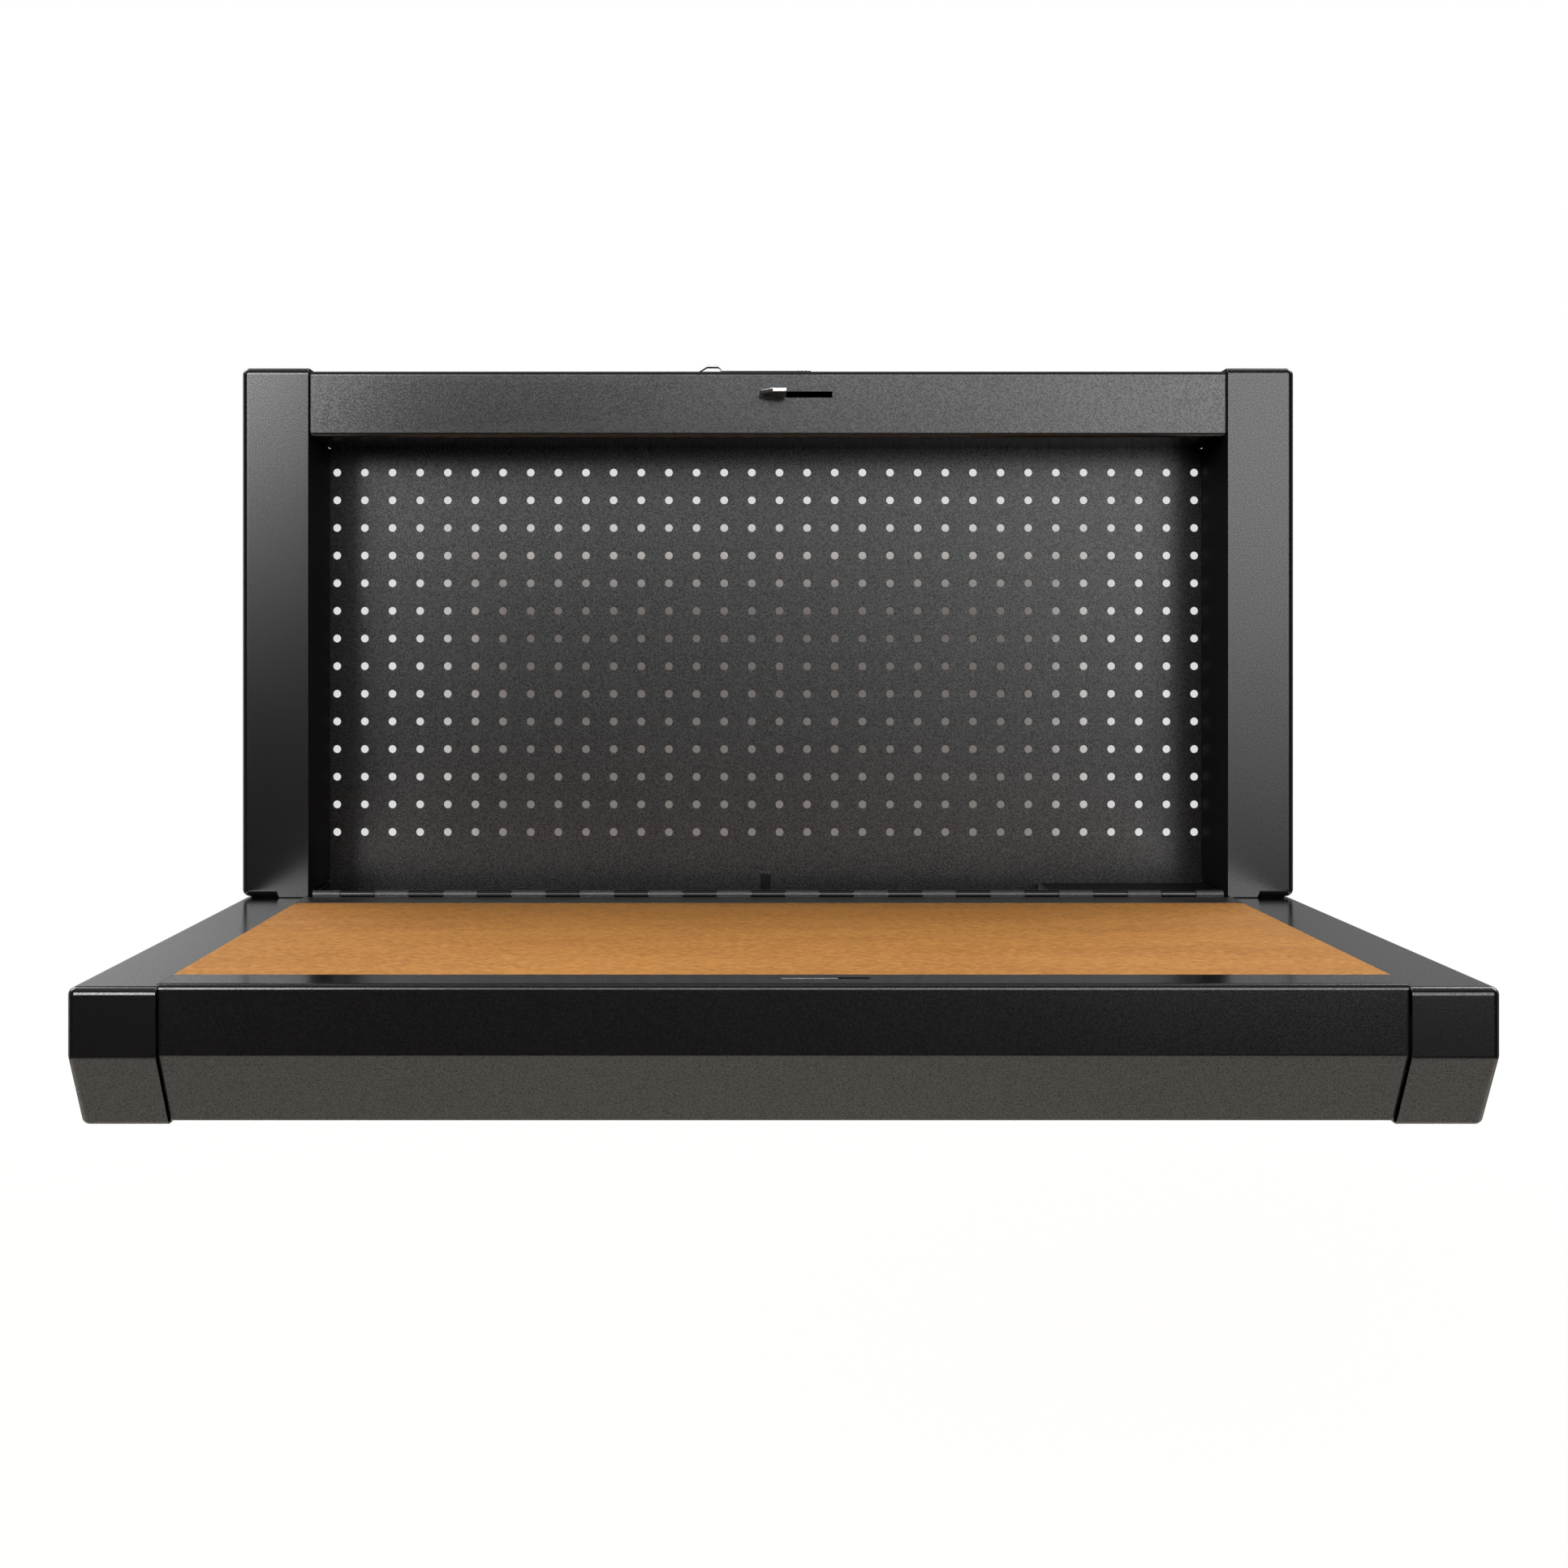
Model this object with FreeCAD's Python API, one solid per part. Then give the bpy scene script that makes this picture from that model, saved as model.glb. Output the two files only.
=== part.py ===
import FreeCAD, Part
import math
import os

# Wall mounted folding workbench, shown with the bench folded down.
# Millimetres. X to the right, Y towards the wall, Z up. The wall is the plane Y = 0, and the
# origin is the centre of the wall bolt pattern.

Vector = FreeCAD.Vector

# Overall
overall_width = 914.0
sheet = 1.5                     # folded sheet of the posts, beams and rails
rail_sheet = 2.0                # heavier sheet of the wall rails and hinge rail
tight_bend = 0.8                # inside bend of folds that fit round another piece
fit_gap = 0.25                  # side gap between pieces that slip together

# Wall bolts
bolt_spacing = 406.4            # two studs, one bay apart
wide_bolt_spacing = 609.6       # the next larger stud bay
wall_hole_radius = 4.0
upper_row_drop = 37.9           # upper bolt row below the top of the header
lower_row_drop = 60.0           # lower bolt row below the top of the side rails

# Rear unit
upper_depth = 120.0             # wall to post fronts
post_width = 58.25
post_above_header = 2.3
post_bend = 6.0
post_lip = 36.0                 # depth of the return beside the recess
post_rear_gap = 8.0             # rear flange's edge short of the recess
foot_tab_width = 26.0           # flat tongue at the inner side of each post's foot
foot_tab_slant = 3.0
foot_tab_gap = 0.3
pad_thickness = 1.0

# Header
header_setback = 4.5            # behind the post fronts
header_above_latch = 20.5       # header's top above the middle of its latch slot
header_height = 57.5
header_bend = 4.0
header_screw_inset = 20.0       # first end screw behind the header's face
header_screw_pitch = 40.0

# Perforated panel
panel_stand_off = 17.0          # wall to the back of the panel
panel_edge = 16.0               # edge of the panel hidden inside each post
panel_skirt = 15.0              # panel below the top of the side rails
panel_headroom = 54.0           # panel above the header's underside
peg_pitch = 25.4
peg_hole_radius = 3.6
peg_side_margin = 1.0           # least steel beside the end holes
peg_top_margin = 15.0           # least height from the top row to the header
peg_bottom_rise = 48.0          # lowest row above the side rails
liner_start = 20.0              # front edge of the recess side walls behind the post fronts
recess_floor_rise = 4.0

# Panel clip and floor plate
clip_width = 9.0
clip_rise = 11.0
clip_length = 23.0
clip_reach = 5.0
plate_sheet = 1.2
floor_plate_length = 148.0
floor_plate_flange = 12.0
floor_plate_gap = 2.0           # floor plate behind the hinge's fixed leaf

# Hinge rail, gussets and wall rails
hinge_rail_flange = 43.0
hinge_rail_web = 50.0
hinge_rail_foot = 15.0
rail_front_gap = 1.0            # hinge rail's front behind the hinge axis
gusset_sheet = 2.5
gusset_count = 4
gusset_rear_drop = 14.0
lower_rail_above = 30.0         # lower wall rail above the side rails' top
lower_rail_below = 44.0
bolt_edge = 16.0                # flange edge beyond the wall bolts
cleat_below = 22.0
cleat_above = 10.0
cleat_joggle = 4.5
cleat_lip_rise = 34.0
hanger_tongue = 14.0
hanger_gap = 0.8
hanger_drop = 20.0

# Piano hinge
barrel_radius = 3.4
hinge_pin_radius = 1.9
hinge_pin_clearance = 0.05
knuckle_pitch = 29.65
barrel_inset = 3.75             # barrel's ends short of the posts
knuckle_gap = 0.4
leaf_sheet = 1.4
leaf_clearance = 0.4            # leaf edge to the other leaf's knuckles
fixed_leaf_width = 30.0
hinge_rivet_radius = 1.6
hinge_rivet_head = 3.0
hinge_rivet_count = 12
hinge_rivet_line = 19.0         # rivets behind the hinge axis
rivet_head_height = 1.0
hole_clearance = 0.1

# Bench
bench_reach = 462.0             # hinge axis to the front of the caps
tail_stand_off = 22.0           # wall to the ends of the side rails
rail_height = 94.6
rail_fold_drop = 45.2           # upright part of the front
slant_back = 30.0
rail_bend = 5.5
cap_width = 57.0
rail_width = 55.0
cap_wrap = 10.0
beam_setback = 4.7              # beam face behind the caps
beam_raise = 1.4                # beam and rear strip above the side rails
beam_fold_raise = 0.6           # beam's fold above the fold of the caps
beam_foot = 28.0
beam_bend = 2.5                 # inside bend of the beam's outer folds
board_inset = 40.0              # board behind the beam's face
board_thickness = 15.0
board_raise = 1.0               # board above the side rails
board_gap = 0.6
board_edge = 0.8
rear_strip = 41.5               # board's rear edge in front of the hinge axis
board_ledge = 15.0
apron_gap = 1.5                 # apron in front of the hinge axis
bottom_sheet = 1.2
bottom_overlap = 15.0
rib_count = 4
rib_width = 40.0
rib_height = 24.0
bracket_sheet = 2.0
bracket_leg = 34.0
bracket_lap = 25.0
pad_length = 80.0
pad_width = 40.0
screw_radius = 2.0
screw_head_radius = 4.0
screw_head_height = 1.6
board_screw_bite = 10.0
board_screw_count = 5

# Latch
slot_to_board = 16.2            # middle of the bench's slot in front of the board
latch_slot_left = -4.0
latch_slot_length = 60.0
latch_slot_height = 5.0
bench_slot_left = -1.0
bench_slot_length = 58.0
bench_slot_width = 6.6
hook_sheet = 3.4
hook_neck_left = 4.0
hook_neck_right = 15.3
hook_nose_left = -7.7
hook_nose_back = 11.0           # from the header's face to the back of the nose
hook_nose_tip = 15.0
hook_reach = 34.0
hook_slant_end = 3.2
latch_travel = 24.0
block_length = 32.0
block_left = -14.0
block_depth = 16.0
block_height = 20.0
block_setback = 14.5            # behind the header's face
rod_radius = 3.0
rod_clearance = 0.05
rod_drop = 12.0                 # guide rod below the slot's middle
rod_end = 4.0
bracket_lug_left = -40.0
bracket_lug_right = 66.0
bracket_lug_margin = 8.0
spring_coil_radius = 4.8
spring_wire_radius = 0.6
spring_coils = 8
arm_left = -10.0
arm_right = 12.0
arm_margin = 1.5                # header slot clear of the release plate's arm
release_sheet = 1.5
release_left = -40.0
release_right = 38.0
release_depth = 22.0
release_gap = 0.3
loop_left = -60.0
loop_width = 10.0
loop_rise = 4.2
loop_foot = 8.0
loop_climb = 7.0                # run of the arch's left slope
loop_flat = 10.4
loop_bend = 3.0
loop_foot_bend = 1.0
keeper_sheet = 2.0
keeper_margin = 12.0
keeper_lip_length = 37.0
keeper_lip = 1.0
keeper_lip_drop = 0.4           # lip below the beam's top face

# Places worked out from the sizes above. The closed bench brings its slot to the latch hook,
# so the bench's reach sets the height of the latch, the header and the posts.
half_width = overall_width / 2
slot_reach = bench_reach - beam_setback - board_inset + slot_to_board
latch_rise = slot_reach + barrel_radius + keeper_lip / 2
header_rise = latch_rise + header_above_latch
bolt_rows_apart = header_rise - upper_row_drop + lower_row_drop
rail_top = -bolt_rows_apart / 2 + lower_row_drop
post_front = -upper_depth
post_inner = half_width - post_width
post_bottom = rail_top + pad_thickness
header_front = post_front + header_setback
header_top = rail_top + header_rise
header_bottom = header_top - header_height
header_half = post_inner - hole_clearance
post_top = header_top + post_above_header
panel_back = -panel_stand_off
panel_front = panel_back - sheet
liner_inner = post_inner + sheet
recess_floor = rail_top + recess_floor_rise
hinge_z = rail_top + barrel_radius
leaf_top = rail_top + leaf_sheet
beam_top = rail_top + beam_raise
rail_bottom = rail_top - rail_height
rail_fold = rail_top - rail_fold_drop
cap_inner_half = half_width - cap_width
rail_inner_half = half_width - rail_width
tail_end = -tail_stand_off
cap_front = post_front - bench_reach
beam_front = cap_front + beam_setback
beam_bottom = rail_bottom + sheet
beam_fold = rail_fold + beam_fold_raise
board_front = beam_front + board_inset
board_rear = post_front - rear_strip
board_top = rail_top + board_raise
board_bottom = board_top - board_thickness
apron_rear = post_front - apron_gap
latch_z = rail_top + latch_rise
barrel_length = 2 * (post_inner - barrel_inset)
bench_slot_y = post_front - slot_reach
block_front = header_front + block_setback
rod_y = block_front + block_depth / 2
rod_z = latch_z - rod_drop
upper_bolts = bolt_rows_apart / 2
lower_bolts = -bolt_rows_apart / 2


# ---------------------------------------------------------------- helpers

def box(x0, x1, y0, y1, z0, z1):
    return Part.makeBox(x1 - x0, y1 - y0, z1 - z0, Vector(x0, y0, z0))


def mirrored(shape):
    return shape.mirror(Vector(0, 0, 0), Vector(1, 0, 0))


def cylinder(radius, start, along):
    return Part.makeCylinder(radius, along.Length, start, along)


def edges_between(shape, *planes):
    # Edges whose middle lies on every given plane, each an axis number and a value.
    picked = []
    for edge in shape.Edges:
        middle = edge.CenterOfMass
        if all(abs(middle[axis] - value) < 1e-4 for axis, value in planes):
            picked.append(edge)
    return picked


def rounded_face(points, radii):
    # Flat face with the given corner points and corner radii.
    corners = []
    for index, point in enumerate(points):
        before = (points[index - 1] - point).normalize()
        after = (points[(index + 1) % len(points)] - point).normalize()
        radius = radii[index]
        if radius <= 0:
            corners.append((point, None, point))
            continue
        half = before.getAngle(after) / 2
        reach = radius / math.tan(half)
        inward = (before + after).normalize()
        middle = point + inward * (radius / math.sin(half) - radius)
        corners.append((point + before * reach, middle, point + after * reach))
    edges = []
    for index, (start, middle, end) in enumerate(corners):
        if middle is not None:
            edges.append(Part.Arc(start, middle, end).toShape())
        following = corners[(index + 1) % len(corners)][0]
        if end.distanceToPoint(following) > 1e-6:
            edges.append(Part.makeLine(end, following))
    return Part.Face(Part.Wire(edges))


def offset_path(points, distance):
    # Points of an open path in the YZ plane moved to its left by a distance.
    runs = [(b - a).normalize() for a, b in zip(points, points[1:])]
    normals = [Vector(0, -run.z, run.y) for run in runs]
    moved = [points[0] + normals[0] * distance]
    for point, first, second in zip(points[1:-1], normals, normals[1:]):
        mitre = (first + second) * (distance / (1 + first.dot(second)))
        moved.append(point + mitre)
    moved.append(points[-1] + normals[-1] * distance)
    return moved


def folded(path, thickness, bends, x0, x1):
    # Folded sheet: an open path of (y, z) points, material on its left, drawn along X.
    # bends holds the inside radius of each fold along the path.
    outer = [Vector(x0, y, z) for y, z in path]
    inner = offset_path(outer, thickness)
    outer_radii = [0]
    inner_radii = [0]
    for a, b, c, inside_bend in zip(outer, outer[1:], outer[2:], bends):
        turn = (b.y - a.y) * (c.z - b.z) - (b.z - a.z) * (c.y - b.y)
        outer_radii.append(inside_bend + thickness if turn > 0 else inside_bend)
        inner_radii.append(inside_bend if turn > 0 else inside_bend + thickness)
    outer_radii.append(0)
    inner_radii.append(0)
    face = rounded_face(outer + inner[::-1], outer_radii + inner_radii[::-1])
    return face.extrude(Vector(x1 - x0, 0, 0))


def prism_x(path, x0, x1):
    points = [Vector(x0, y, z) for y, z in path]
    return Part.Face(Part.makePolygon(points + points[:1])).extrude(Vector(x1 - x0, 0, 0))


def prism_y(path, y0, y1):
    points = [Vector(x, y0, z) for x, z in path]
    return Part.Face(Part.makePolygon(points + points[:1])).extrude(Vector(0, y1 - y0, 0))


def prism_z(path, z0, z1):
    points = [Vector(x, y, z0) for x, y in path]
    return Part.Face(Part.makePolygon(points + points[:1])).extrude(Vector(0, 0, z1 - z0))


def spread(count, half):
    # Evenly spaced places from -half to half.
    return [half * (2 * index / (count - 1) - 1) for index in range(count)]


def wall_holes(z):
    spacings = (bolt_spacing, wide_bolt_spacing)
    places = [side * spacing / 2 for spacing in spacings for side in (-1, 1)]
    drill = Vector(0, 2 * upper_depth, 0)
    return [cylinder(wall_hole_radius, Vector(x, -upper_depth, z), drill) for x in places]


# ---------------------------------------------------------------- rear unit

def post_block(inset):
    # Outside of a post when inset is 0, its hollow when inset is the sheet.
    x0 = post_inner + inset
    x1 = half_width - inset
    y0 = post_front + inset
    z0 = post_bottom + inset
    z1 = post_top - inset
    block = box(x0, x1, y0, -inset, z0, z1)
    bends = edges_between(block, (0, x1), (1, y0))
    bends += edges_between(block, (1, y0), (2, z1))
    bends += edges_between(block, (1, y0), (2, z0))
    bends += edges_between(block, (0, x1), (2, z1))
    bends += edges_between(block, (0, x1), (2, z0))
    return block.makeFillet(post_bend - inset, bends)


def foot_tab():
    z0 = rail_top + foot_tab_gap
    z1 = post_bottom + post_bend + sheet
    x1 = post_inner + foot_tab_width
    outline = [(post_inner, z0), (x1, z0), (x1 + foot_tab_slant, z1), (post_inner, z1)]
    return prism_y(outline, post_front, post_front + sheet)


def header_screw_places():
    first = header_front + header_screw_inset
    z = (header_top + header_bottom) / 2
    return [(first, z), (first + header_screw_pitch, z)]


def right_post():
    post = post_block(0).cut(post_block(sheet))
    window = box(post_inner - sheet, liner_inner, post_front + post_lip, -sheet,
                 post_bottom + sheet, header_bottom)
    rear_window = box(post_inner - sheet, post_inner + post_rear_gap, -2 * sheet, sheet,
                      post_bottom + sheet, header_bottom)
    post = post.cut([window, rear_window]).fuse(foot_tab())
    for y, z in header_screw_places():
        hole = cylinder(screw_radius + hole_clearance, Vector(post_inner - sheet, y, z),
                        Vector(3 * sheet, 0, 0))
        post = post.cut(hole)
    return post.removeSplitter()


def header_beam():
    path = [(panel_front, header_top), (header_front, header_top),
            (header_front, header_bottom), (panel_front, header_bottom)]
    beam = folded(path, sheet, [header_bend - sheet] * 2, -header_half, header_half)
    y0 = header_front + header_bend
    z0 = header_bottom + sheet
    z1 = header_top - sheet
    end = box(header_half - sheet, header_half, y0, panel_front, z0, z1)
    beam = beam.fuse([end, mirrored(end)])
    slot = box(latch_slot_left, latch_slot_left + latch_slot_length,
               header_front - sheet, header_front + 2 * sheet,
               latch_z - latch_slot_height / 2, latch_z + latch_slot_height / 2)
    arm_slot = box(arm_left - arm_margin, arm_right + latch_travel + arm_margin,
                   rod_y - arm_margin, rod_y + release_sheet + arm_margin,
                   header_top - 2 * sheet, header_top + sheet)
    beam = beam.cut([slot, arm_slot])
    for y, z in header_screw_places():
        hole = cylinder(screw_radius + hole_clearance, Vector(-half_width, y, z),
                        Vector(overall_width, 0, 0))
        beam = beam.cut(hole)
    return beam.removeSplitter()


def header_screws():
    screws = []
    shank_start = header_half - 3 * sheet
    for y, z in header_screw_places():
        shank = cylinder(screw_radius, Vector(shank_start, y, z),
                         Vector(liner_inner - shank_start, 0, 0))
        head = cylinder(screw_head_radius, Vector(liner_inner, y, z),
                        Vector(screw_head_height, 0, 0))
        screw = shank.fuse(head).removeSplitter()
        screws += [screw, mirrored(screw)]
    return Part.makeCompound(screws)


def peg_panel():
    # The panel's edges lie inside the posts. Below them, its ears close the recess's lower corners.
    wide = liner_inner + panel_edge
    narrow = post_inner - fit_gap
    ear_top = post_bottom - fit_gap
    low = recess_floor
    high = header_bottom - fit_gap
    bottom = rail_top - panel_skirt
    top = header_bottom + panel_headroom
    half_outline = [(wide, bottom), (wide, ear_top), (narrow, ear_top), (narrow, low), (wide, low),
                    (wide, high), (narrow, high), (narrow, top)]
    outline = half_outline + [(-x, z) for x, z in half_outline[::-1]]
    points = [Vector(x, panel_front, z) for x, z in outline]
    edge = Part.makePolygon(points + points[:1])
    lowest = rail_top + peg_bottom_rise
    columns = int(2 * (narrow - peg_hole_radius - peg_side_margin) / peg_pitch) + 1
    rows = int((header_bottom - peg_top_margin - lowest) / peg_pitch) + 1
    holes = []
    for column in range(columns):
        x = (column - (columns - 1) / 2) * peg_pitch
        for row in range(rows):
            centre = Vector(x, panel_front, lowest + row * peg_pitch)
            circle = Part.Circle(centre, Vector(0, 1, 0), peg_hole_radius)
            holes.append(Part.Wire(circle.toShape()))
    face = Part.Face([edge] + holes)
    return face.extrude(Vector(0, sheet, 0))


def right_liner():
    # Side wall of the recess, with a flange against the panel inside the post.
    y0 = post_front + liner_start
    wall = box(liner_inner, liner_inner + sheet, y0, panel_front, recess_floor,
               header_bottom - fit_gap)
    flange = box(liner_inner, liner_inner + panel_edge, panel_front - sheet, panel_front,
                 recess_floor, header_bottom - fit_gap)
    return wall.fuse(flange).removeSplitter()


def panel_clip():
    z1 = rail_top + clip_rise
    half = clip_width / 2
    back = box(-half, half, panel_front - plate_sheet, panel_front, z1 - clip_length, z1)
    lip = box(-half, half, panel_front - clip_reach, panel_front, z1 - plate_sheet, z1)
    return back.fuse(lip).removeSplitter()


def floor_plate():
    x1 = post_inner - fit_gap
    x0 = x1 - floor_plate_length
    front = post_front + fixed_leaf_width + floor_plate_gap
    path = [(panel_front, rail_top - floor_plate_flange), (panel_front, rail_top + plate_sheet),
            (front, rail_top + plate_sheet)]
    return folded(path, plate_sheet, [tight_bend], x0, x1)


def hinge_rail():
    y0 = post_front + rail_front_gap
    path = [(y0 + hinge_rail_flange, rail_top), (y0, rail_top), (y0, rail_top - hinge_rail_web),
            (y0 + hinge_rail_foot, rail_top - hinge_rail_web)]
    half = post_inner - fit_gap
    rail = folded(path, rail_sheet, [tight_bend] * 2, -half, half)
    return rail.cut(hinge_rivet_holes())


def gusset_half():
    return post_inner - fit_gap - gusset_sheet


def rail_gussets():
    y0 = post_front + rail_front_gap + rail_sheet
    y1 = post_front + rail_front_gap + hinge_rail_flange
    top = rail_top - rail_sheet
    skirt = rail_top - panel_skirt
    bottom = rail_top - lower_rail_below + rail_sheet
    rear_top = rail_top - gusset_rear_drop
    outline = [(y0 + tight_bend, top), (y1, top), (panel_front, rear_top), (panel_front, skirt),
               (panel_back, skirt), (panel_back, bottom), (y0 + hinge_rail_foot, bottom),
               (y0, top - hinge_rail_foot), (y0, top - tight_bend)]
    plates = []
    for x in spread(gusset_count, gusset_half()):
        plates.append(prism_x(outline, x - gusset_sheet / 2, x + gusset_sheet / 2))
    return Part.makeCompound(plates)


def lower_wall_rail():
    front = panel_back + rail_sheet
    low = rail_top - lower_rail_below
    high = rail_top + lower_rail_above
    path = [(0, lower_bolts - bolt_edge), (0, low), (front, low), (front, high), (0, high)]
    half = post_inner - fit_gap
    rail = folded(path, rail_sheet, [tight_bend] * 3, -half, half)
    return rail.cut(wall_holes(lower_bolts))


def wall_cleat():
    path = [(0, upper_bolts - cleat_below), (0, upper_bolts + cleat_above),
            (-cleat_joggle, upper_bolts + cleat_above + cleat_joggle),
            (-cleat_joggle, upper_bolts + cleat_lip_rise)]
    half = post_inner - fit_gap
    cleat = folded(path, rail_sheet, [tight_bend] * 2, -half, half)
    return cleat.cut(wall_holes(upper_bolts))


def hanger_rail():
    seat = upper_bolts + cleat_lip_rise
    top = seat + rail_sheet
    tongue = -(cleat_joggle - hanger_gap - rail_sheet)
    path = [(tongue, seat - hanger_tongue), (tongue, top), (panel_back, top),
            (panel_back, upper_bolts - hanger_drop)]
    half = post_inner - fit_gap
    return folded(path, rail_sheet, [tight_bend] * 2, -half, half)


# ---------------------------------------------------------------- piano hinge

def knuckle_edges():
    # Places along X where one knuckle ends and the next begins. The two end knuckles take up
    # what is left beside an odd number of whole ones.
    whole = 2 * int(barrel_length / knuckle_pitch / 2) - 1
    edges = [-barrel_length / 2]
    edges += [(index - whole / 2) * knuckle_pitch for index in range(whole + 1)]
    edges.append(barrel_length / 2)
    return edges


def knuckles(first, towards):
    # Every second knuckle, each rolled from a tongue of the leaf that lies towards +1 or -1 in Y.
    edges = knuckle_edges()
    reach = towards * (barrel_radius + 2 * leaf_clearance)
    pieces = []
    for index in range(first, len(edges) - 1, 2):
        x0 = edges[index] + knuckle_gap / 2
        x1 = edges[index + 1] - knuckle_gap / 2
        tube = cylinder(barrel_radius, Vector(x0, post_front, hinge_z), Vector(x1 - x0, 0, 0))
        y0, y1 = sorted((post_front, post_front + reach))
        pieces.append(tube)
        pieces.append(box(x0, x1, y0, y1, rail_top, leaf_top))
    return pieces


def hinge_bore():
    start = Vector(-barrel_length, post_front, hinge_z)
    return cylinder(hinge_pin_radius + hinge_pin_clearance, start, Vector(2 * barrel_length, 0, 0))


def hinge_rivet_places():
    y = post_front + hinge_rivet_line
    half = barrel_length / 2 - knuckle_pitch
    return [(x, y) for x in spread(hinge_rivet_count, half)]


def hinge_rivet_holes():
    radius = hinge_rivet_radius + hole_clearance / 2
    drill = Vector(0, 0, 4 * rail_sheet)
    start = rail_top - 2 * rail_sheet
    return [cylinder(radius, Vector(x, y, start), drill) for x, y in hinge_rivet_places()]


def hinge_fixed_leaf():
    y0 = post_front + barrel_radius + leaf_clearance
    half = barrel_length / 2
    leaf = box(-half, half, y0, post_front + fixed_leaf_width, rail_top, leaf_top)
    leaf = leaf.fuse(knuckles(1, 1)).cut(hinge_bore())
    return leaf.cut(hinge_rivet_holes()).removeSplitter()


def hinge_moving_leaf():
    # The bench's rear strip, rolled into the outer knuckles.
    y1 = post_front - barrel_radius - leaf_clearance
    half = rail_inner_half - board_gap
    leaf = box(-half, half, board_rear, y1, rail_top, leaf_top)
    return leaf.fuse(knuckles(0, -1)).cut(hinge_bore()).removeSplitter()


def hinge_pin():
    start = Vector(-barrel_length / 2, post_front, hinge_z)
    return cylinder(hinge_pin_radius, start, Vector(barrel_length, 0, 0))


def hinge_rivets():
    rivets = []
    for x, y in hinge_rivet_places():
        shank_start = Vector(x, y, rail_top - rail_sheet - rivet_head_height)
        shank_length = leaf_sheet + rail_sheet + rivet_head_height
        shank = cylinder(hinge_rivet_radius, shank_start, Vector(0, 0, shank_length))
        upper = cylinder(hinge_rivet_head, Vector(x, y, leaf_top), Vector(0, 0, rivet_head_height))
        lower = cylinder(hinge_rivet_head, shank_start, Vector(0, 0, rivet_head_height))
        rivets.append(shank.fuse([upper, lower]).removeSplitter())
    return Part.makeCompound(rivets)


# ---------------------------------------------------------------- latch

def latch_bracket():
    base_z = header_bottom + sheet
    y0 = block_front
    y1 = block_front + block_depth
    top = rod_z + bracket_lug_margin
    x0 = bracket_lug_left
    x1 = bracket_lug_right
    base = box(x0, x1, y0, y1, base_z, base_z + rail_sheet)
    lugs = [box(x0, x0 + rail_sheet, y0, y1, base_z, top),
            box(x1 - rail_sheet, x1, y0, y1, base_z, top)]
    bore = cylinder(rod_radius + rod_clearance, Vector(x0 - rod_end, rod_y, rod_z),
                    Vector(x1 - x0 + 2 * rod_end, 0, 0))
    return base.fuse(lugs).cut(bore).removeSplitter()


def guide_rod():
    start = bracket_lug_left - rod_end
    length = bracket_lug_right - bracket_lug_left + 2 * rod_end
    return cylinder(rod_radius, Vector(start, rod_y, rod_z), Vector(length, 0, 0))


def latch_block():
    top = latch_z - hook_sheet / 2
    block = box(block_left, block_left + block_length, block_front, block_front + block_depth,
                top - block_height, top)
    bore = cylinder(rod_radius + rod_clearance, Vector(block_left - rod_end, rod_y, rod_z),
                    Vector(block_length + 2 * rod_end, 0, 0))
    return block.cut(bore)


def latch_spring():
    # Compression spring on the guide rod, between the block and the right-hand lug.
    start = block_left + block_length + spring_wire_radius + hole_clearance
    end = bracket_lug_right - rail_sheet - spring_wire_radius - hole_clearance
    pitch = (end - start) / spring_coils
    helix = Part.makeHelix(pitch, end - start, spring_coil_radius)
    profile = Part.Wire(Part.makeCircle(spring_wire_radius, Vector(spring_coil_radius, 0, 0),
                                        Vector(0, 1, 0)))
    spring = Part.Wire(helix.Edges).makePipeShell([profile], True, True)
    spring.rotate(Vector(0, 0, 0), Vector(0, 1, 0), 90)
    spring.translate(Vector(start, rod_y, rod_z))
    return spring


def latch_hook():
    def out(distance):
        return header_front - distance
    outline = [(hook_neck_right, block_front + block_depth), (hook_neck_right, out(hook_reach)),
               (hook_slant_end, out(hook_reach)), (hook_nose_left, out(hook_nose_tip)),
               (hook_nose_left, out(hook_nose_back)), (hook_neck_left, out(hook_nose_back)),
               (hook_neck_left, block_front), (arm_left, block_front),
               (arm_left, block_front + block_depth)]
    return prism_z(outline, latch_z - hook_sheet / 2, latch_z + hook_sheet / 2)


def release_plate():
    # Plate on the header's top, with an arm down through the header to the hook.
    foot_z = latch_z + hook_sheet / 2
    top_z = header_top + release_gap
    y0 = rod_y - release_depth / 2
    top = box(release_left, release_right, y0, y0 + release_depth, top_z, top_z + release_sheet)
    arm = box(arm_left, arm_right, rod_y, rod_y + release_sheet, foot_z, top_z)
    foot = box(arm_left, arm_right, rod_y, block_front + block_depth, foot_z,
               foot_z + release_sheet)
    return top.fuse([arm, foot]).removeSplitter()


def pull_loop():
    # Small arched strip for a fingertip, at the release plate's left end.
    z0 = header_top + release_gap + release_sheet
    arch = [Vector(loop_left, 0, z0), Vector(loop_left + loop_climb, 0, z0 + loop_rise),
            Vector(loop_left + loop_climb + loop_flat, 0, z0 + loop_rise),
            Vector(release_left, 0, z0), Vector(release_left + loop_foot, 0, z0)]
    lift = Vector(0, 0, release_sheet)
    outline = arch + [point + lift for point in arch[::-1]]
    wide_bend = loop_bend + release_sheet
    radii = [0, loop_bend, loop_bend, loop_foot_bend, 0,
             0, loop_foot_bend + release_sheet, wide_bend, wide_bend, 0]
    loop = rounded_face(outline, radii).extrude(Vector(0, loop_width, 0))
    loop.translate(Vector(0, rod_y - loop_width / 2, 0))
    return loop


# ---------------------------------------------------------------- bench

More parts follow.
